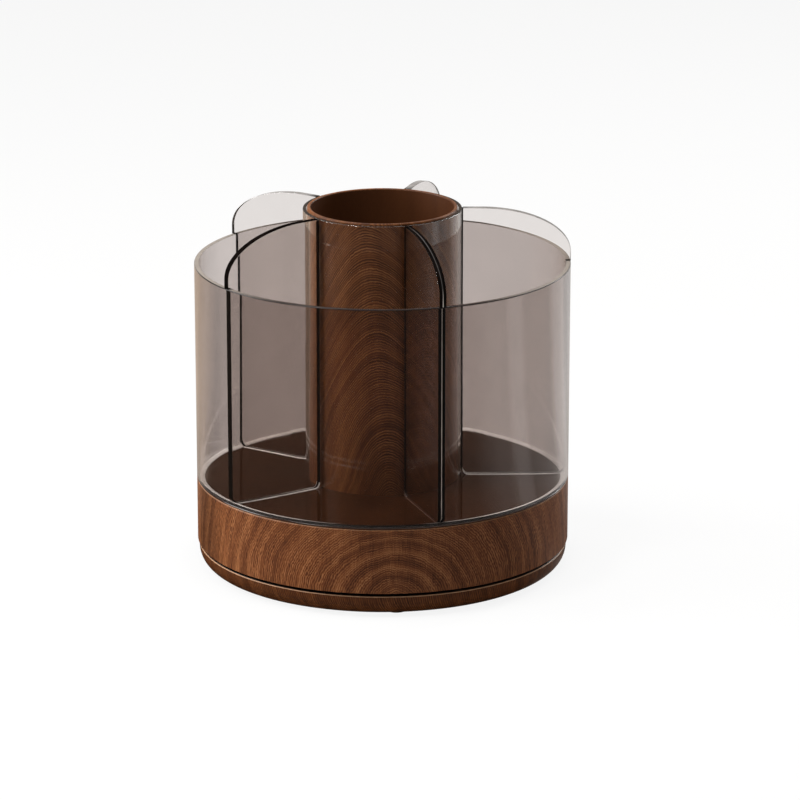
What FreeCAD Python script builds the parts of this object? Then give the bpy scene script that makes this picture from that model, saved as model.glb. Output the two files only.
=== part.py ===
import FreeCAD, Part
import math
import os

# Rotating desk organizer: a wooden foot plate carries a drum on a ball bearing,
# the drum carries a clear five-way tray, and a wooden pen cup lifts out of its middle.
# Millimetres, +Z up, origin on the desk under the centre of the foot plate.

# Clearances
bond_gap = 0.05          # glue line between pieces of one body
screw_gap = 0.05         # round a screw in its hole
seat_gap = 0.1           # round a disc that drops into a rebate
running_gap = 1.2        # visible shadow line between foot plate and drum
shaft_clearance = 0.08   # radial, spindle in its bushing
ball_clearance = 0.08    # radial, ball in its groove
cage_clearance = 0.1     # radial, ball in its pocket
axial_play = 0.2         # bushing between foot plate and washer
cup_clearance = 0.35     # radial, pen cup in the clear tube
overrun = 1.0            # how far a cutter passes the face that it cuts

# Feet
foot_count = 4
foot_first_angle = -85.3
foot_diameter = 10.0
foot_height = 3.0
foot_stand = 0.5           # how far a foot stands out under the plate
foot_edge_round = 0.6
foot_inset = 10.8          # foot's centre from the plate's edge

# Foot plate
base_diameter = 158.6
base_thickness = 9.0
base_lower_round_share = 0.78
base_upper_chamfer = 0.5
base_pocket_margin = 1.0
access_hole_diameter = 6.5

# Drum
outer_diameter = 160.0
drum_height = 28.0
drum_wall = 7.0
drum_rebate = 3.0
drum_chamfer = 0.5
deck_thickness = 6.0
deck_pocket_depth = 1.4

# Bearing
ball_count = 18
ball_diameter = 4.0
ball_circle_diameter = 80.0
race_width = 18.0
race_thickness = 2.6
groove_depth_share = 0.68
cage_width = 6.0
cage_gap_share = 0.6

# Countersunk screws of the two races
race_screw_count = 4
race_screw_diameter = 3.0
race_screw_head_diameter = 5.2
race_screw_length = 6.0
race_screw_inset = 3.5
screw_slot_depth_share = 0.6
screw_slot_width_share = 0.3
screw_slot_length_share = 0.7
screw_tip_share = 0.2

# Spindle: shoulder bolt, bushing, washer and lock nut
spindle_diameter = 8.0
spindle_thread_diameter = 6.0
spindle_head_diameter = 13.0
spindle_head_height = 3.0
spindle_head_recess = 0.5
spindle_socket_size = 5.0
spindle_socket_depth = 1.8
spindle_end_above_nut = 1.0
bushing_wall = 2.0
bushing_flange_diameter = 18.0
bushing_above_deck = 0.5
washer_diameter = 18.0
washer_thickness = 1.2
nut_size = 10.0
nut_height = 4.5
nut_collar_height = 1.5
nut_collar_wall = 1.2

# Clear tray
floor_flange = 0.8
floor_spigot = 2.2
wall_thickness = 2.0
wall_height = 93.5
wall_floor_round = 2.5
wall_toe_thickness = 0.1
tube_bore_diameter = 64.5
tube_wall = 1.5
tube_rise = 23.1

# Dividers
divider_count = 5
divider_first_angle = 0.0
divider_thickness = 3.0
divider_bead = 0.7
divider_foot_round = 2.5   # lower corner beside the tube
divider_lip = 4.0
divider_level_run = 8.25   # level top, from the tube to where the arch begins

# Pen cup
cup_wall = 1.5
cup_proud = 0.7
cup_base_thickness = 3.0
cup_base_rebate = 0.8

# Radii that follow
foot_circle_radius = base_diameter / 2 - foot_inset
outer_radius = outer_diameter / 2
wall_bore_radius = outer_radius - wall_thickness
tube_bore_radius = tube_bore_diameter / 2
tube_radius = tube_bore_radius + tube_wall
ball_radius = ball_diameter / 2
groove_radius = ball_radius + ball_clearance
ball_circle_radius = ball_circle_diameter / 2
race_inner_radius = ball_circle_radius - race_width / 2
race_outer_radius = ball_circle_radius + race_width / 2
lower_screw_radius = race_inner_radius + race_screw_inset
upper_screw_radius = race_outer_radius - race_screw_inset
rebate_radius = outer_radius - drum_wall + drum_rebate
spindle_radius = spindle_diameter / 2
bushing_bore_radius = spindle_radius + shaft_clearance
bushing_radius = bushing_bore_radius + bushing_wall
arch_start_radius = tube_radius + divider_level_run

# Heights that follow
base_bottom = foot_stand
base_top = base_bottom + base_thickness
base_lower_round = base_thickness * base_lower_round_share
drum_bottom = base_top + running_gap
drum_top = drum_bottom + drum_height
deck_top = drum_bottom + deck_thickness
floor_top = drum_top + floor_flange
rim_height = floor_top + wall_height
tube_top = rim_height + tube_rise
cup_top = tube_top + cup_proud
groove_depth = groove_radius * groove_depth_share
race_gap = 2 * (groove_radius - groove_depth)
upper_race_top = drum_bottom + deck_pocket_depth
upper_race_bottom = upper_race_top - race_thickness
lower_race_top = upper_race_bottom - race_gap
lower_race_bottom = lower_race_top - race_thickness
ball_height = lower_race_top + race_gap / 2
bushing_top = deck_top + bushing_above_deck
shoulder_top = bushing_top + axial_play
nut_bottom = shoulder_top + washer_thickness
nut_top = nut_bottom + nut_height + nut_collar_height
race_screw_head_height = (race_screw_head_diameter - race_screw_diameter) / 2

up = FreeCAD.Vector(0, 0, 1)
centre = FreeCAD.Vector(0, 0, 0)


def point(radius, height):
    return FreeCAD.Vector(radius, 0, height)


def arc_edge(start, end, middle_of_circle):
    """A circular edge from start to end, the short way round a centre."""
    radius = (start - middle_of_circle).Length
    outwards = (start + end) * 0.5 - middle_of_circle
    outwards.normalize()
    return Part.Arc(start, middle_of_circle + outwards * radius, end).toShape()


def outline_face(corners, rounds=None):
    """A face from (radius, height) corners; rounds names the arc centre after a corner."""
    rounds = rounds or {}
    points = [point(*corner) for corner in corners]
    edges = []
    for index, start in enumerate(points):
        end = points[(index + 1) % len(points)]
        if index in rounds:
            edges.append(arc_edge(start, end, point(*rounds[index])))
        else:
            edges.append(Part.LineSegment(start, end).toShape())
    return Part.Face(Part.Wire(edges))


def turned(corners, rounds=None):
    """The solid that an outline sweeps in one turn about Z."""
    return outline_face(corners, rounds).revolve(centre, up, 360)


def disc(radius, low, high, off_centre=0):
    return Part.makeCylinder(radius, high - low, point(off_centre, low))


def place_round(shape, count, radius, first_angle=0.0):
    """Copies of a shape, evenly round a circle about Z."""
    copies = []
    for index in range(count):
        copy = shape.copy()
        copy.translate(FreeCAD.Vector(radius, 0, 0))
        copy.rotate(centre, up, first_angle + 360 * index / count)
        copies.append(copy)
    return copies


def hexagon(size, low, high):
    """A hexagonal bar with the given distance between its flats."""
    corner_radius = size / 2 / math.cos(math.pi / 6)
    corners = [FreeCAD.Vector(corner_radius * math.cos(math.pi * side / 3),
                              corner_radius * math.sin(math.pi * side / 3), low)
               for side in range(6)]
    face = Part.Face(Part.makePolygon(corners + corners[:1]))
    return face.extrude(up * (high - low))


def foot_pad():
    radius = foot_diameter / 2
    inner = radius - foot_edge_round
    return turned([(0, 0), (inner, 0), (radius, foot_edge_round), (radius, foot_height), (0, foot_height)],
                  {1: (inner, foot_edge_round)})


def base_plate():
    radius = base_diameter / 2
    lower = radius - base_lower_round
    plate = turned([(0, base_bottom), (lower, base_bottom),
                    (radius, base_bottom + base_lower_round), (radius, base_top - base_upper_chamfer),
                    (radius - base_upper_chamfer, base_top), (0, base_top)],
                   {1: (lower, base_bottom + base_lower_round)})
    pocket = turned([(race_inner_radius - base_pocket_margin, lower_race_bottom),
                     (race_outer_radius + base_pocket_margin, lower_race_bottom),
                     (race_outer_radius + base_pocket_margin, base_top + overrun),
                     (race_inner_radius - base_pocket_margin, base_top + overrun)])
    foot_seat = disc(foot_diameter / 2 + seat_gap, base_bottom - overrun, foot_height)
    head_seat_top = base_bottom + spindle_head_recess + spindle_head_height
    cutters = [pocket,
               disc(spindle_head_diameter / 2 + seat_gap, base_bottom - overrun, head_seat_top),
               disc(spindle_radius + bond_gap, base_bottom, base_top + overrun),
               disc(access_hole_diameter / 2, base_bottom - overrun, base_top, upper_screw_radius)]
    cutters += place_round(foot_seat, foot_count, foot_circle_radius, foot_first_angle)
    cutters += place_round(screw_hole(), race_screw_count, lower_screw_radius)
    return plate.cut(cutters)


def race_screw():
    """A countersunk screw with its head's top at the origin, pointing down."""
    head = race_screw_head_diameter / 2
    shank = race_screw_diameter / 2
    tip = race_screw_length * screw_tip_share
    body = turned([(0, 0), (head, 0), (shank, -race_screw_head_height),
                   (shank, tip - race_screw_length), (0, -race_screw_length)])
    length = race_screw_head_diameter * screw_slot_length_share
    width = race_screw_diameter * screw_slot_width_share
    depth = race_screw_head_height * screw_slot_depth_share
    slots = []
    for across, along in ((length, width), (width, length)):
        corner = FreeCAD.Vector(-across / 2, -along / 2, -depth)
        slots.append(Part.makeBox(across, along, depth + overrun, corner))
    return body.cut(slots)


def screw_hole():
    """The hole of a lower race screw through the race and into the foot plate."""
    depth = race_screw_length + screw_gap
    head = race_screw_head_diameter / 2 + screw_gap
    shank = race_screw_diameter / 2 + screw_gap
    hole = turned([(0, overrun), (head, overrun), (head, 0), (shank, -race_screw_head_height),
                   (shank, -depth), (0, -depth)])
    hole.translate(up * lower_race_top)
    return hole


def turned_over(shape, height):
    """A shape for the lower side, turned over and raised to a height."""
    copy = shape.copy()
    copy.rotate(centre, FreeCAD.Vector(1, 0, 0), 180)
    copy.translate(up * height)
    return copy


def ball_groove():
    return Part.makeTorus(ball_circle_radius, groove_radius, up * ball_height)


def race_ring(low, high):
    return turned([(race_inner_radius, low), (race_outer_radius, low),
                   (race_outer_radius, high), (race_inner_radius, high)])


def lower_race():
    access = disc(access_hole_diameter / 2, lower_race_bottom - overrun, lower_race_top + overrun,
                  upper_screw_radius)
    cutters = [ball_groove(), access]
    cutters += place_round(screw_hole(), race_screw_count, lower_screw_radius)
    return race_ring(lower_race_bottom, lower_race_top).cut(cutters)


def upper_screw_hole():
    at_origin = screw_hole()
    at_origin.translate(up * -lower_race_top)
    return turned_over(at_origin, upper_race_bottom)


def upper_race():
    cutters = [ball_groove()]
    cutters += place_round(upper_screw_hole(), race_screw_count, upper_screw_radius)
    return race_ring(upper_race_bottom, upper_race_top).cut(cutters)


def lower_race_screws():
    screw = race_screw()
    screw.translate(up * lower_race_top)
    return Part.makeCompound(place_round(screw, race_screw_count, lower_screw_radius))


def upper_race_screws():
    screw = turned_over(race_screw(), upper_race_bottom)
    return Part.makeCompound(place_round(screw, race_screw_count, upper_screw_radius))


def ball_cage():
    half_thickness = race_gap * cage_gap_share / 2
    inner = ball_circle_radius - cage_width / 2
    outer = ball_circle_radius + cage_width / 2
    low, high = ball_height - half_thickness, ball_height + half_thickness
    ring = turned([(inner, low), (outer, low), (outer, high), (inner, high)])
    pocket = disc(ball_radius + cage_clearance, low - overrun, high + overrun)
    return ring.cut(place_round(pocket, ball_count, ball_circle_radius))


def bearing_balls():
    ball = Part.makeSphere(ball_radius, up * ball_height)
    return Part.makeCompound(place_round(ball, ball_count, ball_circle_radius))


def spindle_bolt():
    head_bottom = base_bottom + spindle_head_recess
    head_top = head_bottom + spindle_head_height
    end = nut_top + spindle_end_above_nut
    thread = spindle_thread_diameter / 2
    bolt = turned([(0, head_bottom), (spindle_head_diameter / 2, head_bottom),
                   (spindle_head_diameter / 2, head_top), (spindle_radius, head_top),
                   (spindle_radius, shoulder_top), (thread, shoulder_top), (thread, end), (0, end)])
    return bolt.cut(hexagon(spindle_socket_size, head_bottom - overrun, head_bottom + spindle_socket_depth))


def spindle_bushing():
    flange = bushing_flange_diameter / 2
    flange_bottom = base_top + axial_play
    return turned([(bushing_bore_radius, flange_bottom), (flange, flange_bottom), (flange, drum_bottom),
                   (bushing_radius, drum_bottom), (bushing_radius, bushing_top),
                   (bushing_bore_radius, bushing_top)])


def spindle_washer():
    bore = spindle_thread_diameter / 2 + bond_gap
    return turned([(bore, shoulder_top), (washer_diameter / 2, shoulder_top),
                   (washer_diameter / 2, nut_bottom), (bore, nut_bottom)])


def spindle_nut():
    hexagon_top = nut_bottom + nut_height
    bore = spindle_thread_diameter / 2 + bond_gap
    collar = disc(bore + nut_collar_wall, hexagon_top, nut_top)
    body = hexagon(nut_size, nut_bottom, hexagon_top).fuse(collar)
    return body.cut(disc(bore, nut_bottom - overrun, nut_top + overrun))


def turntable_deck():
    plate = disc(rebate_radius - seat_gap, drum_bottom, deck_top)
    race_pocket = turned([(race_inner_radius - seat_gap, drum_bottom - overrun),
                          (race_outer_radius + seat_gap, drum_bottom - overrun),
                          (race_outer_radius + seat_gap, upper_race_top),
                          (race_inner_radius - seat_gap, upper_race_top)])
    cutters = [race_pocket, disc(bushing_radius + bond_gap, drum_bottom - overrun, deck_top + overrun)]
    cutters += place_round(upper_screw_hole(), race_screw_count, upper_screw_radius)
    return plate.cut(cutters)


def drum_ring():
    bore = outer_radius - drum_wall
    ledge = drum_top - floor_spigot
    return turned([(rebate_radius, drum_bottom), (outer_radius - drum_chamfer, drum_bottom),
                   (outer_radius, drum_bottom + drum_chamfer), (outer_radius, drum_top - drum_chamfer),
                   (outer_radius - drum_chamfer, drum_top), (rebate_radius, drum_top),
                   (rebate_radius, ledge), (bore, ledge), (bore, deck_top), (rebate_radius, deck_top)])


def tray_floor():
    spigot = rebate_radius - seat_gap
    spigot_bottom = drum_top - floor_spigot + bond_gap
    return turned([(0, spigot_bottom), (spigot, spigot_bottom), (spigot, drum_top),
                   (outer_radius, drum_top), (outer_radius, floor_top), (0, floor_top)])


def outer_wall():
    toe = wall_bore_radius - wall_floor_round
    toe_top = floor_top + wall_toe_thickness
    return turned([(toe, floor_top), (outer_radius, floor_top), (outer_radius, rim_height),
                   (wall_bore_radius, rim_height), (wall_bore_radius, toe_top + wall_floor_round),
                   (toe, toe_top)],
                  {4: (toe, toe_top + wall_floor_round)})


def inner_tube():
    return turned([(tube_bore_radius, floor_top), (tube_radius, floor_top),
                   (tube_radius, tube_top), (tube_bore_radius, tube_top)])


def divider_outline():
    """One divider from the side: a panel inside the wall, a lip over its rim, an arched top."""
    inner = tube_radius + bond_gap
    outer = wall_bore_radius - bond_gap
    corner = wall_floor_round + wall_toe_thickness
    lip = rim_height + bond_gap
    foot_centre = point(inner + divider_foot_round, floor_top + divider_foot_round)
    arch_foot = point(outer_radius, rim_height + divider_lip)
    arch_centre = point(arch_start_radius, arch_foot.z)
    arch_top = point(arch_centre.x, tube_top)
    inner_side = [arch_top, point(inner, tube_top), point(inner, foot_centre.z)]
    outer_side = [point(foot_centre.x, floor_top), point(outer - corner, floor_top),
                  point(outer, floor_top + corner), point(outer, lip), point(outer_radius, lip), arch_foot]
    edges = straight_edges(inner_side)
    edges.append(arc_edge(inner_side[-1], outer_side[0], foot_centre))
    edges += straight_edges(outer_side)
    edges.append(arch_edge(arch_centre, arch_foot, arch_top))
    return Part.Face(Part.Wire(edges))


def straight_edges(points):
    return [Part.LineSegment(start, end).toShape() for start, end in zip(points, points[1:])]


def arch_edge(middle, foot, top):
    """A quarter of an ellipse from the arch's upright foot to its level top."""
    run, drop = foot.x - middle.x, top.z - middle.z
    if run > drop:
        ellipse = Part.Ellipse(foot, top, middle)
        return Part.ArcOfEllipse(ellipse, 0, math.pi / 2).toShape()
    ellipse = Part.Ellipse(top, foot, middle)
    return Part.ArcOfEllipse(ellipse, 0, math.pi / 2).toShape()


def divider_slab():
    """The divider's section across its thickness, with a bead along its foot."""
    half = divider_thickness / 2
    top = tube_top + overrun
    section = [(-half - divider_bead, floor_top), (half + divider_bead, floor_top),
               (half, floor_top + divider_bead), (half, top), (-half, top), (-half, floor_top + divider_bead)]
    corners = [FreeCAD.Vector(0, across, height) for across, height in section]
    face = Part.Face(Part.makePolygon(corners + corners[:1]))
    return face.extrude(FreeCAD.Vector(outer_radius + overrun, 0, 0))


def divider():
    swept = divider_outline().revolve(centre, up, 360)
    return swept.common(divider_slab())


def pen_cup_tube():
    radius = tube_bore_radius - cup_clearance
    bore = radius - cup_wall
    rebate = bore + cup_base_rebate
    rebate_top = floor_top + cup_base_thickness
    return turned([(rebate, floor_top), (radius, floor_top), (radius, cup_top), (bore, cup_top),
                   (bore, rebate_top), (rebate, rebate_top)])


def pen_cup_base():
    rebate = tube_bore_radius - cup_clearance - cup_wall + cup_base_rebate
    return disc(rebate - bond_gap, floor_top, floor_top + cup_base_thickness)


def all_nodes():
    nodes = {
        "base_plate": base_plate(),
        "lower_race": lower_race(),
        "lower_race_screws": lower_race_screws(),
        "spindle_bolt": spindle_bolt(),
        "spindle_washer": spindle_washer(),
        "spindle_nut": spindle_nut(),
        "ball_cage": ball_cage(),
        "bearing_balls": bearing_balls(),
        "upper_race": upper_race(),
        "upper_race_screws": upper_race_screws(),
        "spindle_bushing": spindle_bushing(),
        "turntable_deck": turntable_deck(),
        "drum_ring": drum_ring(),
        "tray_floor": tray_floor(),
        "outer_wall": outer_wall(),
        "inner_tube": inner_tube(),
        "pen_cup_tube": pen_cup_tube(),
        "pen_cup_base": pen_cup_base(),
    }
    feet = place_round(foot_pad(), foot_count, foot_circle_radius, foot_first_angle)
    for index, foot in enumerate(feet):
        nodes[f"foot_{index + 1}"] = foot
    for index, panel in enumerate(place_round(divider(), divider_count, 0, divider_first_angle)):
        nodes[f"divider_{index + 1}"] = panel
    return nodes


def main():
    os.makedirs("parts", exist_ok=True)
    for name, shape in all_nodes().items():
        shape.exportStep(f"parts/{name}.step")
        print(name, "solids", len(shape.Solids), "valid", shape.isValid(),
              "volume", round(shape.Volume, 2))


main()
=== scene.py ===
import math
import bmesh
import bpy
from mathutils import Matrix, Vector


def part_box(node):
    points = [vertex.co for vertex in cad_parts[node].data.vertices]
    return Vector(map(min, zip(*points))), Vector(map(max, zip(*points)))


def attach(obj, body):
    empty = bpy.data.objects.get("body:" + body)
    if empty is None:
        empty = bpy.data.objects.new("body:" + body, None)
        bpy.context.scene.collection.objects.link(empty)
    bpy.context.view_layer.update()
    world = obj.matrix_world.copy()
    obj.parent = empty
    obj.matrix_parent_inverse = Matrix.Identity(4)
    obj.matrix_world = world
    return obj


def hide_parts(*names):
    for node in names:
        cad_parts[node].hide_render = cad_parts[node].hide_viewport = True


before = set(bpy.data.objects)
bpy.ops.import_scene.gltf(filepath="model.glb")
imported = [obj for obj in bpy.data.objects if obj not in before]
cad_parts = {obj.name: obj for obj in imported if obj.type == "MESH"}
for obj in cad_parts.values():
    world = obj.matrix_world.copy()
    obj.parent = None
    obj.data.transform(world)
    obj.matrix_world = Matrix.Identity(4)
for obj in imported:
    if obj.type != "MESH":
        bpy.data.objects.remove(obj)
bpy.context.view_layer.update()

# Lengths are written in millimetres and become metres where a mesh or a lamp is made.
MM = 0.001

# Stock thicknesses and fits that the frame's boxes don't tell
wall_thickness = 2.0
tube_wall = 1.5
cup_wall = 1.5
cup_base_thickness = 3.0
cup_base_rebate = 0.8
drum_wall = 7.0
drum_rebate = 3.0
drum_top_round = 0.7
drum_foot_round = 0.35
floor_spigot = 2.2
floor_edge_round = 0.36
divider_thickness = 3.0
divider_level_run = 8.25
divider_lip = 4.0
divider_count = 5
foot_count = 4
divider_foot_round = 2.5
pale_bead_panels = (0, 2, 3)     # where the cement at a divider's foot is painted pale as a painted highlight, not clear
highlight_stripe_panels = (0, 4)     # whose edges have a painted highlight stripe
grey_arches = (0, 1, 2)      # whose arches are grey with painted reflection, not left dark
bond_gap = 0.05
seat_gap = 0.1
cement_bead = 0.34
wall_bond_run = 2.2
wall_bond_rise = 0.75
wall_bond_thickness = 0.15
wall_foot_corner = 2.4
rim_outer_round = 0.45
rim_inner_round = 0.15
divider_edge_round = 0.2
highlight_stripe_width = 0.35
joint_depth = 0.4
joint_width = 2.9
tube_edge_round = 0.3
cup_edge_round = 0.6
cement_sink = 0.05        # how far clear pieces sink into the cement on the floor
lathe_steps = 240
arc_steps = 8
arch_steps = 28
sharp_angle = math.radians(50)   # faces that meet at more than this have their edge rounded
close_by = 0.1            # a corner this near to a radius or a height lies on it
edge_zone = 1.0           # what lies this near to a rim or an edge is beside it
merge_reach = 0.001       # corners nearer than this are one
acrylic_ior = 1.49


def sizes_of(node):
    """Radius, bottom and top of a round CAD node, in millimetres."""
    low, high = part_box(node)
    return high.x / MM, low.z / MM, high.z / MM


outer_radius, drum_bottom, drum_top = sizes_of("drum_ring")
_, _, rim_height = sizes_of("outer_wall")
tube_radius, floor_top, tube_top = sizes_of("inner_tube")
cup_radius, _, cup_top = sizes_of("pen_cup_tube")
base_radius, _, base_top = sizes_of("base_plate")
_, _, deck_top = sizes_of("turntable_deck")
wall_bore_radius = outer_radius - wall_thickness
tube_bore_radius = tube_radius - tube_wall
cup_bore_radius = cup_radius - cup_wall
rebate_radius = outer_radius - drum_wall + drum_rebate
arch_start_radius = tube_radius + divider_level_run


def srgb(red, green, blue):
    """A colour as seen on screen, 0 to 255, as the linear colour that a shader takes."""
    def linear(value):
        share = value / 255
        return share / 12.92 if share <= 0.04045 else ((share + 0.055) / 1.055) ** 2.4
    return (linear(red), linear(green), linear(blue), 1.0)


class Signal:
    """A socket in a material's node tree. Arithmetic on it adds Math nodes."""

    def __init__(self, tree, socket=None):
        self.tree = tree
        self.socket = socket

    def node(self, kind, settings=None, inputs=None, output=0):
        """A new node's output. Settings are set first, then its sockets take values or links."""
        made = self.tree.nodes.new(kind)
        for key, value in (settings or {}).items():
            if key == "stops":
                set_stops(made.color_ramp, value)
            else:
                setattr(made, key, value)
        for key, value in (inputs or {}).items():
            if isinstance(value, Signal):
                self.tree.links.new(value.socket, made.inputs[key])
            else:
                made.inputs[key].default_value = value
        return Signal(self.tree, made.outputs[output] if made.outputs else None)

    def math(self, operation, *values):
        return self.node("ShaderNodeMath", {"operation": operation}, dict(enumerate(values)))

    def __add__(self, other):
        return self.math("ADD", self, other)

    def __radd__(self, other):
        return self.math("ADD", other, self)

    def __sub__(self, other):
        return self.math("SUBTRACT", self, other)

    def __rsub__(self, other):
        return self.math("SUBTRACT", other, self)

    def __mul__(self, other):
        return self.math("MULTIPLY", self, other)

    def __rmul__(self, other):
        return self.math("MULTIPLY", other, self)

    def __truediv__(self, other):
        return self.math("DIVIDE", self, other)

    def __rtruediv__(self, other):
        return self.math("DIVIDE", other, self)

    def root(self):
        return self.math("SQRT", self)

    def spread(self, low, high, start=0.0, end=1.0):
        """This value's share of the way from low to high, kept between start and end."""
        return self.node("ShaderNodeMapRange", {"clamp": True},
                         {"Value": self, "From Min": low, "From Max": high, "To Min": start, "To Max": end})


def set_stops(ramp, stops):
    """Gives a colour ramp its (position, colour) stops."""
    while len(ramp.elements) < len(stops):
        ramp.elements.new(1.0)
    for element, (position, colour) in zip(ramp.elements, stops):
        element.position = position
        element.color = colour


def mix(factor, first, second):
    """A colour between two colours."""
    return factor.node("ShaderNodeMix", {"data_type": "RGBA"}, {0: factor, 6: first, 7: second}, 2)


def new_material(name):
    """An empty node material and a Signal to build in it."""
    material = bpy.data.materials.new(name)
    material.use_nodes = True
    material.node_tree.nodes.clear()
    return material, Signal(material.node_tree)


def place(signal):
    """Object coordinates in millimetres, as three numbers."""
    position = signal.node("ShaderNodeTexCoord", output="Object")
    parts = [position.node("ShaderNodeSeparateXYZ", None, {0: position}, axis) for axis in range(3)]
    return [part / MM for part in parts]


def vector(x, y, z):
    """Three numbers as one vector; at least one of them is a Signal."""
    first = next(part for part in (x, y, z) if isinstance(part, Signal))
    return first.node("ShaderNodeCombineXYZ", None, {0: x, 1: y, 2: z})


def noise(at, scale, detail=2.0, roughness=0.5):
    """Smooth noise about 0.5 through space."""
    return at.node("ShaderNodeTexNoise", {"noise_dimensions": "3D"},
                   {"Vector": at, "Scale": scale, "Detail": detail, "Roughness": roughness})


def line_noise(along, scale, detail, roughness):
    """Smooth noise about 0.5 along a line."""
    return along.node("ShaderNodeTexNoise", {"noise_dimensions": "1D"},
                      {"W": along, "Scale": scale, "Detail": detail, "Roughness": roughness})


def finish_surface(signal, inputs):
    """The Principled shader and the output that close a solid material."""
    shader = signal.node("ShaderNodeBsdfPrincipled", None, inputs)
    signal.node("ShaderNodeOutputMaterial", None, {"Surface": shader})


def finish_glass(signal, inputs):
    """Closes a clear material. Lamps and soft light pass it straight, and light what stands inside."""
    shader = signal.node("ShaderNodeBsdfPrincipled", None, inputs)
    for ray in ("Is Diffuse Ray", "Is Shadow Ray"):
        open_way = signal.node("ShaderNodeBsdfTransparent", None, {"Color": (0.96, 0.96, 0.96, 1.0)})
        chosen = signal.node("ShaderNodeLightPath", output=ray)
        shader = signal.node("ShaderNodeMixShader", None, {0: chosen, 1: shader, 2: open_way})
    signal.node("ShaderNodeOutputMaterial", None, {"Surface": shader})


# Wood

# Painted highlight along the top edges of the drum and of the base plate
edge_highlight_wood = srgb(224, 178, 140)
# Painted shade on the base plate's top inside the gap under the drum
gap_shade_colour = srgb(14, 7, 4)
# Painted shade on the drum's right and the cup's upper part, and a darker tone of the wood at the drum's far
# left
dark_tone_and_shade_colour = (0.0, 0.0, 0.0, 1.0)


def unrolled(signal, radius):
    """Place on the rolled veneer: distance round from the front, height, and depth from the face."""
    x, y, z = place(signal)
    round_front = x.math("ARCTAN2", x, 0 - y) * radius
    return round_front, z, (x * x + y * y).root() - radius


def drum_rings(across, height, depth):
    """Growth rings of the drum: broad domes that nest about a point low in front."""
    wander = noise(vector(across / 40, height / 30, 0.0), 1.0, 1.0, 0.5) - 0.5
    ripple = noise(vector(across / 6, height / 8, 3.0), 1.0, 1.0, 0.5) - 0.5
    across = across - 5.0 + wander * 5
    rise = (height - (drum_bottom - 3.0)) * 1.15 + ripple * 3.0
    shiver = noise(vector(across / 1.6, height / 2.4, 13.0), 1.0, 1.0, 0.5) - 0.5
    return (across * across + rise * rise).root() + shiver * 0.9 + depth * 0.6


def base_rings(across, height, depth):
    """Growth rings of the base plate: nearly upright lines that lean a little."""
    wander = noise(vector(across / 30, height / 30, 7.0), 1.0, 1.0, 0.5) - 0.5
    return across + height * 0.22 + wander * 4 + depth * 0.6 + 400.0


def cup_rings(across, height, depth):
    """Growth rings of the pen cup: one tall stack of arches, narrower lower down."""
    wander = noise(vector(across / 26, height / 34, 5.0), 1.0, 1.0, 0.5) - 0.5
    share = height.spread(floor_top, cup_top)
    across = across - (4.0 - share * 10.0) + wander * 3
    blunt = share.spread(0.05, 0.3, 4.0, 13.0)
    arch = (across * across + blunt * blunt).root() - blunt
    shiver = noise(vector(across / 1.8, height / 1.8, 13.0), 1.0, 1.0, 0.5) - 0.5
    return height + arch * 1.8 + wander * 3 + shiver * 0.9 + depth * 0.5


def drum_dark_tone_and_shade(across, height):
    """Darker wood at the drum's far left, and painted shade, a little darker, right of its figure."""
    wander = noise(vector(across / 12, height / 40, 31.0), 1.0, 1.0, 0.5) - 0.5
    across = across + wander * 12
    return (across.spread(-112, -104, 0.0, 0.42) - across.spread(-96, -80, 0.0, 0.42)
            + across.spread(-30, 10, 0.0, 0.3) - across.spread(60, 105, 0.0, 0.3))


def cup_shadow(across, height):
    """Painted shade in the upper part of the pen cup, but for its far left."""
    return height.spread(rim_height - 30, rim_height - 6, 0.0, 0.38) * across.spread(-38, -30)


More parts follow.
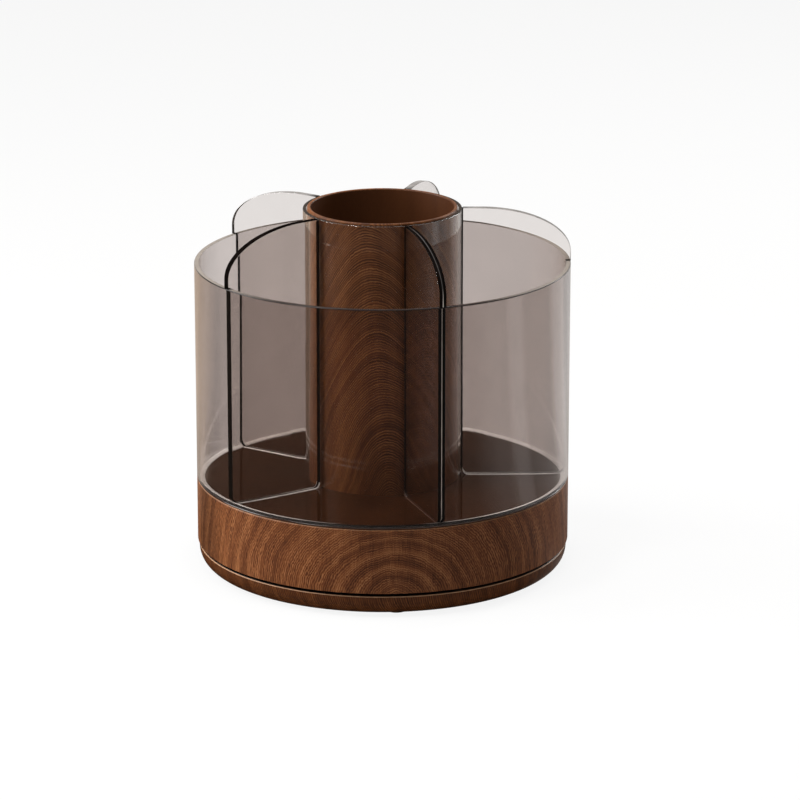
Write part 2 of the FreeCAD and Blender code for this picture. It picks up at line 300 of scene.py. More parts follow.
def walnut(name, radius, rings, pitch, shades, strength, edge, shadow=None, gap_shade_depth=None):
    """Oiled walnut veneer rolled round a cylinder.

    Shades run from its dark lines to its light ones; strength is how much its lines, its bands,
    its upright fibres and its feathering show. An edge (height, lean, low, high, share) is painted
    pale by that share, a painted highlight. A shadow is a function of the place that darkens the
    wood with painted shade, and on the drum also with a darker tone of its own; the top is painted
    near black from a depth inside the edge, a painted shade, where one is given.
    """
    material, signal = new_material(name)
    across, height, depth = unrolled(signal, radius)
    lines, broad, upright, feathering = strength
    feather = noise(vector(across * 2.0, height / 5.0, depth), 1.0, 2.0, 0.6) - 0.5
    ring = rings(across, height, depth) + feather * feathering
    sway = line_noise(ring + 17.0, 0.3 / pitch, 1.0, 0.5) * 4.0
    wave = ring * (math.tau / pitch) + sway
    patch = noise(vector(across / 9, height / 14, 21.0), 1.0, 1.0, 0.5).spread(0.3, 0.7, 0.6, 1.0)
    uneven = line_noise(ring + 90.0, 0.4 / pitch, 1.0, 0.5).spread(0.3, 0.7, 0.4, 1.0)
    fine = wave.math("SINE", wave) * uneven * patch
    bands = line_noise(ring + 40.0, 0.24, 2.0, 0.5) - 0.5
    fibre = noise(vector(across * 2.6, height / 7.0, depth), 1.0, 2.0, 0.6) - 0.5
    streak = noise(vector(across / 7, height / 90, 9.0), 1.0, 2.0, 0.55) - 0.5
    pore = noise(vector(across * 4.0, height / 2.4, depth * 2), 1.0, 0.0, 0.5).spread(0.64, 0.76)
    tone = fine * lines + bands * broad + fibre * upright + streak * 0.5 + 0.5
    steps = [(0.05 + 0.3 * index, shade) for index, shade in enumerate(shades)]
    colour = mix(pore * 0.3, tone.node("ShaderNodeValToRGB", {"stops": steps}, {0: tone}), shades[0])
    # Darkens toward black: painted shade, and on the drum's far left also a darker tone of the wood
    if shadow:
        colour = mix(shadow(across, height), colour, dark_tone_and_shade_colour)
    # Painted highlight: the wood is painted pale along the edge
    edge_height, lean, low, high, pale = edge
    edge_highlight = (height - edge_height + depth * lean).spread(low, high)
    colour = mix(edge_highlight * pale, colour, edge_highlight_wood)
    # Painted shade: the top inside the edge is painted near black, where the gap lies in shade
    if gap_shade_depth:
        on_top = height.spread(edge_height - gap_shade_depth - 0.05, edge_height - gap_shade_depth)
        colour = mix((0 - depth).spread(gap_shade_depth, gap_shade_depth + 0.1) * on_top, colour, gap_shade_colour)
    bump = signal.node("ShaderNodeBump", None, {
        "Strength": 0.2, "Distance": 0.03 * MM, "Height": fine * 0.2 + fibre * 0.4 - pore * 0.6})
    finish_surface(signal, {
        "Base Color": colour, "Roughness": 0.42 - (tone - 0.5) * 0.10 + pore * 0.12, "Normal": bump,
        "Specular IOR Level": 0.15, "Coat Weight": 0.03, "Coat Roughness": 0.2, "IOR": 1.45})
    return material


# Acrylic

def milk_at(x, y, z):
    """Slow clouds through cement and polished edges."""
    return noise(vector(x / 6, y / 6, z / 6), 1.0, 2.0, 0.6)


def acrylic(name, tint, level=0.5):
    """Clear or smoked cast acrylic; light takes the tint at each face that it passes."""
    material, signal = new_material(name)
    x, y, z = place(signal)
    cloud = noise(vector(x / 9, y / 9, z / 14), 1.0, 2.0, 0.6)
    wave = noise(vector(x / 30, y / 30, z / 45), 1.0, 0.0)
    bump = signal.node("ShaderNodeBump", None, {"Strength": 0.2, "Distance": 0.02 * MM, "Height": wave})
    deeper = tuple(part * 0.97 for part in tint[:3]) + (1.0,)
    finish_glass(signal, {
        "Base Color": mix(cloud.spread(0.35, 0.75), tint, deeper),
        "Roughness": 0.004 + cloud.spread(0.4, 0.8) * 0.008, "Normal": bump,
        "IOR": acrylic_ior, "Transmission Weight": 1.0, "Specular IOR Level": level})
    return material


def dark_gloss(name):
    """The tray's floor: polished acrylic, so dark a brown that it looks black."""
    material, signal = new_material(name)
    x, y, z = place(signal)
    cloud = noise(vector(x / 18, y / 18, z / 18), 1.0, 3.0, 0.6)
    finish_surface(signal, {
        "Base Color": mix(cloud.spread(0.3, 0.7), srgb(40, 20, 8), srgb(50, 27, 12)),
        "Roughness": 0.008 + cloud.spread(0.4, 0.8) * 0.012, "IOR": acrylic_ior})
    return material


def shown_aside(name, front, side, low, high, behind=0.0, roughness=0.2):
    """Acrylic or cement whose colour is painted refraction and reflection: dark in front, where the dark tray
    shows, and paler to the sides.

    Low and high are where it turns, as shares of the radius. Behind is how pale it is at the back.
    """
    material, signal = new_material(name)
    x, y, z = place(signal)
    milk = milk_at(x, y, z)
    aside = x.math("ABSOLUTE", x) / outer_radius
    # Painted refraction and reflection: paler to the sides and at the back
    pale = aside.math("MAXIMUM", aside.spread(low, high), y.spread(-10, 10, 0.0, behind))
    finish_surface(signal, {
        "Base Color": mix(pale * milk.spread(0.2, 0.6, 0.8, 1.0), front, side),
        "Roughness": roughness + milk * 0.1, "IOR": acrylic_ior, "Specular IOR Level": 0.2})
    return material


def arch_with_painted_reflection(name):
    """A panel's edge: sawn and dark inside the wall, grey with painted reflection from the rim up."""
    material, signal = new_material(name)
    x, y, z = place(signal)
    milk = milk_at(x, y, z)
    # Painted reflection: grey from the rim up, dark below
    grey = mix(milk.spread(0.3, 0.7), srgb(104, 101, 98), srgb(128, 124, 121))
    finish_surface(signal, {
        "Base Color": mix(z.spread(rim_height - 4, rim_height + 6), srgb(12, 9, 8), grey),
        "Roughness": milk * 0.06 + 0.2, "IOR": acrylic_ior, "Specular IOR Level": 0.05})
    return material


def painted_highlight_stripe(name):
    """A panel's painted highlight stripe: pale on the upright edge, darker round the arch."""
    material, signal = new_material(name)
    x, y, z = place(signal)
    milk = milk_at(x, y, z)
    pale = mix(milk.spread(0.3, 0.7), srgb(168, 158, 152), srgb(196, 188, 182))
    finish_surface(signal, {
        "Base Color": mix(z.spread(rim_height, rim_height + 8), pale, srgb(52, 49, 47)),
        "Roughness": 0.15 + milk * 0.1, "IOR": acrylic_ior, "Specular IOR Level": 0.2})
    return material


def cement(name, dark, light, roughness=0.12, level=0.5):
    """Set solvent cement, or an acrylic edge polished with it: glossy and a little cloudy."""
    material, signal = new_material(name)
    x, y, z = place(signal)
    milk = milk_at(x, y, z)
    finish_surface(signal, {
        "Base Color": mix(milk.spread(0.3, 0.7), dark, light),
        "Roughness": roughness + milk * 0.1, "IOR": acrylic_ior, "Specular IOR Level": level})
    return material


# Hidden and underside materials

def steel(name, colour, roughness, marks_per_mm):
    """Turned steel with fine tool marks round its axis."""
    material, signal = new_material(name)
    x, y, z = place(signal)
    radius = (x * x + y * y).root()
    marks = line_noise(radius + z * 0.8, marks_per_mm, 3.0, 0.6)
    stain = noise(vector(x / 6, y / 6, z / 6), 1.0, 2.0)
    bump = signal.node("ShaderNodeBump", None, {"Strength": 0.3, "Distance": 0.02 * MM, "Height": marks})
    dark = tuple(part * 0.75 for part in colour[:3]) + (1.0,)
    finish_surface(signal, {
        "Base Color": mix(stain.spread(0.35, 0.7), dark, colour), "Metallic": 1.0,
        "Roughness": roughness + (marks - 0.5) * 0.15, "Normal": bump})
    return material


def speckled(name, colour, light, roughness, grain):
    """Moulded nylon or rubber with a fine matt grain."""
    material, signal = new_material(name)
    x, y, z = place(signal)
    fine = noise(vector(x, y, z), grain, 2.0, 0.6)
    broad = noise(vector(x / 5, y / 5, z / 5), 1.0, 2.0)
    bump = signal.node("ShaderNodeBump", None, {"Strength": 0.4, "Distance": 0.04 * MM, "Height": fine})
    finish_surface(signal, {
        "Base Color": mix(fine * 0.5 + broad * 0.5, colour, light),
        "Roughness": roughness + (fine - 0.5) * 0.2, "Normal": bump})
    return material


def plywood(name, veneers):
    """Birch plywood: face grain above and below, stripes of its veneers on the edge."""
    material, signal = new_material(name)
    x, y, z = place(signal)
    layer = (z - drum_bottom) / ((deck_top - drum_bottom) / veneers)
    stripe = layer.math("PINGPONG", layer, 1.0).spread(0.35, 0.65)
    grain = noise(vector(x * 1.4, y / 14, z), 1.0, 3.0, 0.6)
    flecks = noise(vector(x * 4, y / 2.5, z * 4), 1.0, 1.0).spread(0.62, 0.75)
    light = mix(grain, srgb(196, 160, 116), srgb(222, 192, 150))
    colour = mix(stripe * 0.7, light, srgb(140, 98, 62))
    bump = signal.node("ShaderNodeBump", None, {"Strength": 0.3, "Distance": 0.05 * MM, "Height": grain})
    finish_surface(signal, {
        "Base Color": mix(flecks * 0.4, colour, srgb(120, 82, 50)),
        "Roughness": 0.55 + (grain - 0.5) * 0.2, "Normal": bump})
    return material


# Mesh helpers

def finished_piece(name, mesh_maker, material, body, slot, *nodes):
    """An object from a bmesh, smooth but for its true corners, riding on a CAD body."""
    mesh = bpy.data.meshes.new(name)
    mesh_maker.to_mesh(mesh)
    mesh_maker.free()
    mesh.shade_smooth()
    mesh.materials.append(material)
    piece = bpy.data.objects.new(name, mesh)
    bpy.context.scene.collection.objects.link(piece)
    weigh = piece.modifiers.new("weighted normals", "WEIGHTED_NORMAL")
    weigh.weight = 100
    weigh.keep_sharp = True
    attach(piece, body)
    if nodes:
        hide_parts(*nodes)
    return piece


def round_edges(maker, offset, segments=3, keep=None):
    """Rounds the sharp edges, or those of them that keep says."""
    sharp = [edge for edge in maker.edges
             if len(edge.link_faces) == 2 and edge.calc_face_angle() > sharp_angle
             and (keep is None or keep(edge))]
    bmesh.ops.bevel(maker, geom=sharp, offset=offset * MM, offset_type="OFFSET", segments=segments,
                    profile=0.5, affect="EDGES", material=-1, clamp_overlap=True)


def lathe(outline):
    """A bmesh of an outline of (radius, height) corners in millimetres, spun a full turn."""
    maker = bmesh.new()
    corners = [maker.verts.new((radius * MM, 0, height * MM)) for radius, height in outline]
    edges = [maker.edges.new((first, second)) for first, second in zip(corners, corners[1:] + corners[:1])]
    bmesh.ops.spin(maker, geom=corners + edges, cent=(0, 0, 0), axis=(0, 0, 1),
                   angle=math.tau, steps=lathe_steps, use_merge=True, use_duplicate=False)
    bmesh.ops.remove_doubles(maker, verts=maker.verts, dist=merge_reach * MM)
    bmesh.ops.recalc_face_normals(maker, faces=maker.faces)
    return maker


def quarter_arc(centre_radius, centre_height, run, drop, start, steps=10):
    """Points of a quarter ellipse, from a start angle in quarter turns."""
    points = []
    for step in range(steps + 1):
        angle = math.pi / 2 * (start + step / steps)
        points.append((centre_radius + run * math.cos(angle), centre_height + drop * math.sin(angle)))
    return points


def drawn_out(maker, outline, way):
    """Draws a face out of its corners, in metres, along a way. Gives the corners of its far end."""
    face = maker.faces.new([maker.verts.new(corner) for corner in outline])
    grown = bmesh.ops.extrude_face_region(maker, geom=[face])
    far = [item for item in grown["geom"] if isinstance(item, bmesh.types.BMVert)]
    bmesh.ops.translate(maker, verts=far, vec=way)
    return far


def turn_to_divider(maker, verts, index):
    """Turns what was made on the object's right to the place of a divider."""
    turn = Matrix.Rotation(math.tau * index / divider_count, 4, "Z")
    bmesh.ops.transform(maker, matrix=turn, verts=verts)


# Pieces

def make_drum(material):
    """The wooden ring, with a rebate for the tray's floor above and one for the deck below."""
    bore = outer_radius - drum_wall
    ledge = drum_top - floor_spigot
    maker = lathe([(rebate_radius, drum_bottom), (outer_radius, drum_bottom), (outer_radius, drum_top),
                   (rebate_radius, drum_top), (rebate_radius, ledge), (bore, ledge),
                   (bore, deck_top), (rebate_radius, deck_top)])
    for height, offset in ((drum_top, drum_top_round), (drum_bottom, drum_foot_round)):
        round_edges(maker, offset, 4, lambda edge: all(
            vert.co.xy.length > (outer_radius - close_by) * MM and abs(vert.co.z - height * MM) < close_by * MM
            for vert in edge.verts))
    return finished_piece("drum", maker, material, "turntable", "walnut", "drum_ring")


def make_floor(material):
    """The tray's floor: a flange over the drum, and a spigot in its rebate."""
    spigot = rebate_radius - seat_gap
    maker = lathe([(0, drum_top - floor_spigot + bond_gap), (spigot, drum_top - floor_spigot + bond_gap),
                   (spigot, drum_top + bond_gap), (outer_radius, drum_top + bond_gap),
                   (outer_radius, floor_top), (0, floor_top)])
    round_edges(maker, floor_edge_round, 3,
                lambda edge: edge.verts[0].co.xy.length > (outer_radius - edge_zone) * MM)
    return finished_piece("floor", maker, material, "turntable", "dark_acrylic", "tray_floor")


def make_wall(material, flat_material, round_material):
    """The wall, more rounded outside its rim than inside, with painted refraction on the flat between and on
    the rounds.
    """
    foot = floor_top + wall_bond_thickness
    maker = lathe([(wall_bore_radius, foot), (outer_radius, foot), (outer_radius, rim_height),
                   (wall_bore_radius, rim_height)])
    for corner, offset in ((outer_radius, rim_outer_round), (wall_bore_radius, rim_inner_round)):
        round_edges(maker, offset, 4, lambda edge: all(
            abs(vert.co.xy.length - corner * MM) < close_by * MM and vert.co.z > (rim_height - edge_zone) * MM
            for vert in edge.verts))
    # The rim's flat and its rounds take painted refraction: dark in front, pale to the sides
    for face in maker.faces:
        inside = face.calc_center_median().xy.length < (outer_radius - edge_zone) * MM
        if face.normal.z > 0.1:
            face.material_index = 1 if face.normal.z > 0.98 or inside else 2
    piece = finished_piece("wall", maker, material, "turntable", "smoked_acrylic", "outer_wall")
    piece.data.materials.append(flat_material)
    piece.data.materials.append(round_material)
    return piece


def make_wall_bond(material, dark_material):
    """The cement under the wall, which stands out inside as a low ledge with a round edge."""
    inner = wall_bore_radius - bond_gap
    outer = outer_radius - seat_gap
    maker = lathe([(inner - wall_bond_run, floor_top), (outer, floor_top),
                   (outer, floor_top + wall_bond_thickness - bond_gap),
                   (inner, floor_top + wall_bond_thickness - bond_gap)]
                  + quarter_arc(inner, floor_top, wall_bond_run, wall_bond_rise, 1))
    # The inner faces take the painted reflection, the outer ones the dark cement
    for face in maker.faces:
        face.material_index = int(face.calc_center_median().xy.length > (inner - bond_gap) * MM)
    piece = finished_piece("wall_bond", maker, material, "turntable", "smoked_acrylic")
    piece.data.materials.append(dark_material)
    return piece


def make_tube(material):
    """The clear tube round the pen cup."""
    maker = lathe([(tube_bore_radius, floor_top - cement_sink), (tube_radius, floor_top - cement_sink),
                   (tube_radius, tube_top), (tube_bore_radius, tube_top)])
    round_edges(maker, tube_edge_round, 3, lambda edge: edge.verts[0].co.z > floor_top * MM)
    return finished_piece("tube", maker, material, "turntable", "smoked_acrylic", "inner_tube")


def make_cup(material, lining):
    """The wooden pen cup with its lining, a darker copy of its walnut as painted shade inside; its bottom disc
    sits in a rebate.
    """
    rebate = cup_bore_radius + cup_base_rebate
    rebate_top = floor_top + cup_base_thickness
    maker = lathe([(rebate, floor_top), (cup_radius, floor_top), (cup_radius, cup_top),
                   (cup_bore_radius, cup_top), (cup_bore_radius, rebate_top), (rebate, rebate_top)])
    round_edges(maker, cup_edge_round, 4, lambda edge: edge.verts[0].co.z > (cup_top - edge_zone) * MM)
    lining_radius = cup_bore_radius + cup_edge_round / 3
    for face in maker.faces:
        face.material_index = int(face.calc_center_median().xy.length < lining_radius * MM)
    piece = finished_piece("cup", maker, material, "pen_cup", "walnut", "pen_cup_tube")
    piece.data.materials.append(lining)
    return piece


def divider_outline():
    """A divider from the side: inside the wall, a lip over its rim, an arched top."""
    inner = tube_radius + joint_depth + bond_gap
    outer = wall_bore_radius - bond_gap
    corner = wall_foot_corner
    lip = rim_height + bond_gap
    arch_foot = rim_height + divider_lip
    arch = quarter_arc(arch_start_radius, arch_foot, outer_radius - arch_start_radius,
                       tube_top - arch_foot, 0, arch_steps)
    foot = floor_top - cement_sink
    foot_arc = quarter_arc(inner + divider_foot_round, foot + divider_foot_round,
                           divider_foot_round, divider_foot_round, 2, arc_steps)
    return ([(inner, tube_top)] + foot_arc + [(outer - corner, foot), (outer, floor_top + corner),
            (outer, lip), (outer_radius, lip)] + arch)


def make_beads(milky, clear):
    """The cement that stands out at the foot of each divider's two faces, as hollow quarter rounds."""
    beads = bmesh.new()
    start = tube_radius + joint_depth + divider_foot_round
    end = wall_bore_radius - wall_foot_corner
    side = divider_thickness / 2
    hollow = quarter_arc(side + cement_bead, floor_top + cement_bead, cement_bead, cement_bead, 2, 5)
    for index in range(divider_count):
        maker = bmesh.new()
        outline = [(start * MM, across * MM, height * MM) for across, height in [(side, floor_top)] + hollow]
        far = drawn_out(maker, outline, ((end - start) * MM, 0, 0))
        near = [vert for vert in maker.verts if vert not in far]
        section = near + [edge for edge in maker.edges if all(vert in near for vert in edge.verts)]
        bmesh.ops.spin(maker, geom=section, cent=(start * MM, 0, (floor_top + divider_foot_round) * MM),
                       axis=(0, 1, 0), angle=math.pi / 2, steps=arc_steps,
                       use_merge=False, use_duplicate=False)
        bmesh.ops.mirror(maker, geom=maker.verts[:] + maker.edges[:] + maker.faces[:],
                         axis="Y", merge_dist=0)
        turn_to_divider(maker, maker.verts, index)
        # The beads of some panels are painted pale as a painted highlight; the rest are clear
        for face in maker.faces:
            face.material_index = int(index not in pale_bead_panels)
        strip = bpy.data.meshes.new("bead")
        maker.to_mesh(strip)
        maker.free()
        beads.from_mesh(strip)
        bpy.data.meshes.remove(strip)
    bmesh.ops.recalc_face_normals(beads, faces=beads.faces)
    piece = finished_piece("cement_beads", beads, milky, "turntable", "smoked_acrylic")
    piece.data.materials.append(clear)
    return piece


def runs_round_panel(edge):
    """Whether an edge of a divider's face is a free one, above the foot and clear of the tube."""
    first, second = [vert.co for vert in edge.verts]
    middle = (first + second) / 2
    return (abs(first.y - second.y) < close_by * MM
            and middle.x > (tube_radius + joint_depth + edge_zone) * MM
            and middle.z > (floor_top + wall_foot_corner) * MM)


def make_joints(material):
    """The dark joint between the tube and each divider's inner edge."""
    joints = bmesh.new()
    low, high = floor_top + divider_foot_round, tube_top - tube_edge_round
    size = Vector((joint_depth, joint_width, high - low)) * MM
    middle = Vector((tube_radius + bond_gap / 2 + joint_depth / 2, 0, (low + high) / 2)) * MM
    for index in range(divider_count):
        made = bmesh.ops.create_cube(joints, size=1.0)
        bmesh.ops.scale(joints, verts=made["verts"], vec=size)
        bmesh.ops.translate(joints, verts=made["verts"], vec=middle)
        turn_to_divider(joints, made["verts"], index)
    return finished_piece("joints", joints, material, "turntable", "smoked_acrylic")


def make_divider(index, material, stripe_material, dark_material, arch_material):
    """A clear panel with dark sawn edges; some have a painted highlight stripe there, or a grey arch with
    painted reflection.
    """
    maker = bmesh.new()
    half = divider_thickness / 2
    outline = [(radius * MM, -half * MM, height * MM) for radius, height in divider_outline()]
    drawn_out(maker, outline, (0, divider_thickness * MM, 0))
    round_edges(maker, divider_edge_round, 3, runs_round_panel)
    for side in (-highlight_stripe_width / 2, highlight_stripe_width / 2):
        bmesh.ops.bisect_plane(maker, geom=maker.verts[:] + maker.edges[:] + maker.faces[:],
                               dist=merge_reach * MM, plane_co=(0, side * MM, 0), plane_no=(0, 1, 0))
    bmesh.ops.recalc_face_normals(maker, faces=maker.faces)
    for face in maker.faces:
        middle = face.calc_center_median()
        if abs(face.normal.y) < 0.95 and middle.z > floor_top * MM:
            on_stripe = abs(middle.y) < highlight_stripe_width / 2 * MM and face.normal.x > -0.9
            on_arch = middle.z > (rim_height + divider_lip) * MM
            if index in grey_arches and (on_arch or face.normal.x > 0.5 and not on_stripe):
                face.material_index = 3
            else:
                face.material_index = 1 if on_stripe and index in highlight_stripe_panels else 2
    turn_to_divider(maker, maker.verts, index)
    piece = finished_piece(f"panel_{index + 1}", maker, material, "turntable", "smoked_acrylic",
                           f"divider_{index + 1}")
    for edge_material in (stripe_material, dark_material, arch_material):
        piece.data.materials.append(edge_material)
    return piece


def dress(material, *nodes):
    """CAD nodes that keep their shape take a finished material."""
    for node in nodes:
        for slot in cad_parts[node].material_slots:
            slot.material = material


# Finishes, with painted highlights, painted reflections and painted shade

drum_shades = [srgb(58, 28, 12), srgb(88, 48, 23), srgb(115, 67, 36), srgb(144, 94, 57)]
base_shades = [srgb(42, 19, 6), srgb(62, 31, 10), srgb(84, 45, 18), srgb(108, 65, 33)]
cup_shades = [srgb(56, 28, 12), srgb(84, 46, 21), srgb(110, 65, 34), srgb(142, 93, 54)]
# Painted shade: the cup's inside takes darker shades of its walnut
painted_shade_lining_colours = [srgb(54, 28, 14), srgb(64, 35, 18), srgb(72, 41, 22), srgb(82, 48, 28)]
cup_edge = (cup_top, 0.0, -0.3, -0.08, 0.0)
# The drum's and the base plate's top edges are painted pale as a painted highlight
drum_wood = walnut("drum walnut", outer_radius, drum_rings, pitch=0.95, shades=drum_shades,
                   strength=(0.44, 0.75, 0.9, 1.2), edge=(drum_top, 1.0, -0.5, -0.35, 0.5), shadow=drum_dark_tone_and_shade)
# The base plate's top is painted dark with shade inside the gap under the drum
base_wood = walnut("base walnut", base_radius, base_rings, pitch=0.95, shades=base_shades,
                   strength=(0.4, 0.5, 0.8, 0.8), edge=(base_top, 1.0, -0.62, -0.5, 0.5), gap_shade_depth=0.25)
cup_wood = walnut("cup walnut", cup_radius, cup_rings, pitch=1.15, shades=cup_shades,
                  strength=(0.5, 0.6, 0.3, 0.5), edge=cup_edge, shadow=cup_shadow)
shaded_lining_wood = walnut("cup lining walnut with painted shade", cup_radius, cup_rings, pitch=1.15, shades=painted_shade_lining_colours,
                     strength=(0.1, 0.1, 0.2, 0.3), edge=cup_edge)
smoke = acrylic("smoked acrylic", (0.631, 0.577, 0.555, 1.0))
tube_clear = acrylic("clear tube acrylic", (0.965, 0.955, 0.945, 1.0), level=1.0)
panel_clear = acrylic("clear panel acrylic", (0.845, 0.805, 0.785, 1.0))
floor_gloss = dark_gloss("dark gloss floor")
# Painted highlight: the beads of some panels are painted pale
bead_highlight_cement = cement("bead cement with painted highlight", srgb(200, 195, 190), srgb(226, 222, 218))
clear_cement = cement("clear set cement", srgb(60, 42, 34), srgb(80, 60, 50), roughness=0.05)
dark_cement = cement("dark set cement", srgb(10, 7, 5), srgb(18, 12, 9), roughness=0.6, level=0.1)
dark_edge = cement("sawn acrylic edge", srgb(8, 6, 5), srgb(16, 12, 10), roughness=0.3, level=0.0)
# Painted reflection on the arches of some panels
grey_edge = arch_with_painted_reflection("acrylic edge with painted reflection")
# Painted highlight: a pale stripe down the edges of some panels
stripe = painted_highlight_stripe("painted highlight stripe")
# Painted refraction on the rim, and painted reflection on the cement inside the wall's foot
rim_flat = shown_aside("rim with painted refraction", srgb(34, 20, 13), srgb(128, 120, 112), low=0.5, high=0.9)
rim_round = shown_aside("rim edge with painted refraction", srgb(22, 14, 10), srgb(96, 91, 86), low=0.93, high=1.0)
wall_cement = shown_aside("wall cement with painted reflection", srgb(26, 15, 10), srgb(206, 201, 196),
                          low=0.2, high=0.6, behind=1.0)

make_drum(drum_wood)
make_floor(floor_gloss)
make_wall(smoke, rim_flat, rim_round)
make_wall_bond(wall_cement, dark_cement)
make_joints(dark_cement)
make_tube(tube_clear)
make_cup(cup_wood, shaded_lining_wood)
for panel in range(divider_count):
    make_divider(panel, panel_clear, stripe, dark_edge, grey_edge)
make_beads(bead_highlight_cement, clear_cement)

dress(base_wood, "base_plate")
dress(cup_wood, "pen_cup_base")
dress(plywood("birch plywood", 5), "turntable_deck")
dress(steel("race steel", srgb(176, 178, 182), 0.28, 5.0), "lower_race", "upper_race")
dress(steel("zinc plated steel", srgb(196, 198, 196), 0.36, 3.0), "lower_race_screws", "upper_race_screws",
      "spindle_bolt", "spindle_washer", "spindle_nut")
dress(steel("ball steel", srgb(205, 207, 210), 0.12, 1.0), "bearing_balls")
dress(speckled("white nylon", srgb(206, 202, 192), srgb(226, 223, 214), 0.5, 3.0),
      "ball_cage", "spindle_bushing")
dress(speckled("foot rubber", srgb(26, 25, 24), srgb(44, 42, 40), 0.75, 2.5),
      *(f"foot_{foot + 1}" for foot in range(foot_count)))


# Stage

# How bright the surroundings show in reflections
front_level = 0.06
right_level = 0.45
back_level = 0.6
sky_level = 0.3
high_sky_level = 1.0
mirror_peak = 2.0
streaks = ((82, 8, 0.4), (128, 15, 0.35))    # azimuth, half width and gain of the bright streaks

# What the camera sees round the object, and what lights it
floor_whiteness = 0.88
ambient_level = 0.18
ground_reach = 8.0

# The camera, in metres and as a lens in millimetres
camera_position = (0.0, -1.6929, 0.57775)
camera_target = (0.00746, 0.0, 0.0709)
camera_lens = 185.2
sensor_width = 36.0
lamp_target = (0, 0, 0.08)
light_bounces = 24


def make_ground():
    """A pale floor that keeps the shadow and looks white to the camera."""
    maker = bmesh.new()
    bmesh.ops.create_grid(maker, x_segments=1, y_segments=1, size=ground_reach)
    mesh = bpy.data.meshes.new("ground")
    maker.to_mesh(mesh)
    maker.free()
    ground = bpy.data.objects.new("ground", mesh)
    bpy.context.scene.collection.objects.link(ground)
    material, signal = new_material("pale floor")
    lit = signal.node("ShaderNodeBsdfDiffuse", None, {"Color": srgb(200, 199, 197)})
    white = signal.node("ShaderNodeEmission", None, {"Color": (1, 1, 1, 1), "Strength": 1.0})
    dark = signal.node("ShaderNodeEmission", None, {"Color": (0, 0, 0, 1), "Strength": 1.0})
    level = mirrored_level(signal) / mirror_peak
    side = place(signal)[0].spread(-200, 200)
    peak = signal.node("ShaderNodeEmission", None, {
        "Color": mix(side, (1.0, 0.8, 0.64, 1.0), (1.0, 0.97, 0.95, 1.0)), "Strength": mirror_peak})
    mirrored = signal.node("ShaderNodeMixShader", None, {0: level, 1: dark, 2: peak})
    whiteness = seen_straight(signal) * floor_whiteness
    shown = signal.node("ShaderNodeMixShader", None, {0: whiteness, 1: lit, 2: white})
    shown = signal.node("ShaderNodeMixShader", None, {0: seen_mirrored(signal), 1: shown, 2: mirrored})
    signal.node("ShaderNodeOutputMaterial", None, {"Surface": shown})
    material.cycles.emission_sampling = "NONE"
    mesh.materials.append(material)


def mirrored_level(signal):
    """How bright the floor shows in reflections: dark in front and left, two streaks on the right."""
    x, y, _ = place(signal)
    away = (x * x + y * y).root()
    azimuth = x.math("ARCTAN2", x, 0 - y) * (180 / math.pi)
    level = (azimuth.spread(50, 66, front_level, right_level)
             + azimuth.spread(115, 145, 0.0, back_level - right_level)
             + azimuth.spread(-113, -128, 0.0, back_level - front_level))
    for middle, width, gain in streaks:
        off_middle = azimuth - middle
        level = level + off_middle.math("ABSOLUTE", off_middle).spread(width, width / 2, 0.0, gain)
    return level * away.spread(150, 300, 0.6, 1.0)


def light_path(signal, output):
    return signal.node("ShaderNodeLightPath", output=output)


def met_mirror(signal):
    """1 once a ray has been reflected by a gloss."""
    return signal.math("GREATER_THAN", light_path(signal, "Glossy Depth"), 0.5)


def seen_straight(signal):
    """1 for rays from the camera, also through clear pieces, that have met no mirror on the way."""
    from_camera = light_path(signal, "Is Camera Ray")
    through_clear = light_path(signal, "Is Transmission Ray")
    return signal.math("MAXIMUM", from_camera, through_clear) * (1 - met_mirror(signal))


def seen_mirrored(signal):
    """1 for rays that a gloss sends on, and for those mirrored inside a clear piece."""
    return light_path(signal, "Is Glossy Ray") * met_mirror(signal)


def make_world():
    """Soft light all round, white behind the object, and a studio's sky in reflections."""
    world = bpy.data.worlds.new("studio")
    world.use_nodes = True
    world.node_tree.nodes.clear()
    bpy.context.scene.world = world
    signal = Signal(world.node_tree)
    around = signal.node("ShaderNodeBackground", None, {"Color": (1, 1, 1, 1), "Strength": ambient_level})
    white = signal.node("ShaderNodeBackground", None, {"Color": (1, 1, 1, 1), "Strength": 1.0})
    rise = signal.node("ShaderNodeTexCoord", output="Generated")
    rise = rise.node("ShaderNodeSeparateXYZ", None, {0: rise}, 2)
    horizon = signal.node("ShaderNodeBackground", None, {"Color": (1, 1, 1, 1), "Strength": back_level})
    sky = signal.node("ShaderNodeBackground", None, {"Color": (1.0, 0.82, 0.7, 1.0), "Strength": sky_level})
    sky = signal.node("ShaderNodeMixShader", None, {0: rise.spread(0.08, 0.22), 1: horizon, 2: sky})
    high = signal.node("ShaderNodeBackground", None, {"Color": (1, 1, 1, 1), "Strength": high_sky_level})
    sky = signal.node("ShaderNodeMixShader", None, {0: rise.spread(0.36, 0.46), 1: sky, 2: high})
    shown = signal.node("ShaderNodeMixShader", None, {0: seen_straight(signal), 1: around, 2: white})
    shown = signal.node("ShaderNodeMixShader", None, {0: seen_mirrored(signal), 1: shown, 2: sky})
    signal.node("ShaderNodeOutputWorld", None, {"Surface": shown})


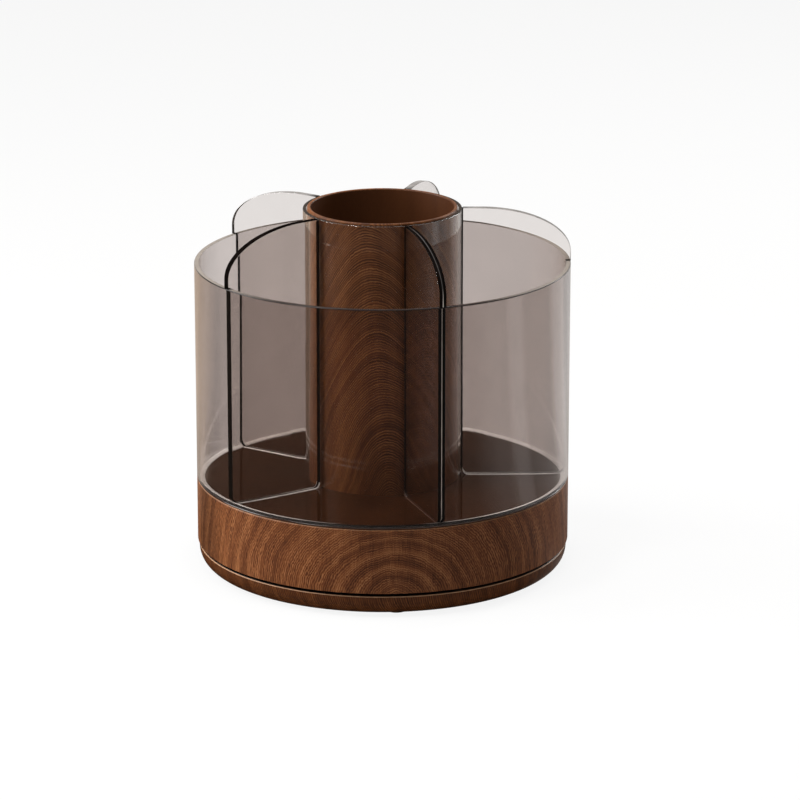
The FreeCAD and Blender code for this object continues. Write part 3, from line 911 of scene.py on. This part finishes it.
def add_lamp(name, azimuth, elevation, distance, width, height, power, mirrored=True):
    """A soft rectangular lamp that faces the object. Azimuth 0 is the camera's side, 90 its right."""
    turn, rise = math.radians(azimuth), math.radians(elevation)
    target = Vector(lamp_target)
    away = Vector((math.sin(turn) * math.cos(rise), -math.cos(turn) * math.cos(rise), math.sin(rise)))
    data = bpy.data.lights.new(name, "AREA")
    data.shape = "RECTANGLE"
    data.size, data.size_y = width, height
    data.energy = power
    lamp = bpy.data.objects.new(name, data)
    lamp.location = target + away * distance
    lamp.rotation_mode = "QUATERNION"
    lamp.rotation_quaternion = (-away).to_track_quat("-Z", "Y")
    lamp.visible_camera = False
    lamp.visible_transmission = False
    lamp.visible_glossy = mirrored
    bpy.context.scene.collection.objects.link(lamp)


def make_camera():
    """A long lens that looks down a little from in front."""
    data = bpy.data.cameras.new("camera")
    data.lens = camera_lens
    data.sensor_width = sensor_width
    camera = bpy.data.objects.new("camera", data)
    camera.location = camera_position
    camera.rotation_mode = "QUATERNION"
    camera.rotation_quaternion = (Vector(camera_target) - camera.location).to_track_quat("-Z", "Y")
    bpy.context.scene.collection.objects.link(camera)
    bpy.context.scene.camera = camera


make_ground()
make_world()
add_lamp("left softbox", azimuth=-95, elevation=22, distance=1.3, width=0.7, height=0.9, power=19.0)
add_lamp("front top", azimuth=-62, elevation=56, distance=1.2, width=0.35, height=0.35, power=10.0)
add_lamp("front fill", azimuth=40, elevation=30, distance=1.6, width=1.0, height=0.8, power=1.0)
add_lamp("top softbox", azimuth=20, elevation=84, distance=1.2, width=0.5, height=0.5, power=12.0,
         mirrored=False)
add_lamp("back right strip", azimuth=134, elevation=28, distance=1.2, width=0.25, height=0.8, power=7.0)
make_camera()
bpy.context.scene.view_settings.view_transform = "Standard"
cycles = bpy.context.scene.cycles
cycles.max_bounces = light_bounces
cycles.transmission_bounces = light_bounces
cycles.transparent_max_bounces = light_bounces
cycles.caustics_refractive = False
cycles.caustics_reflective = False

bpy.context.view_layer.update()
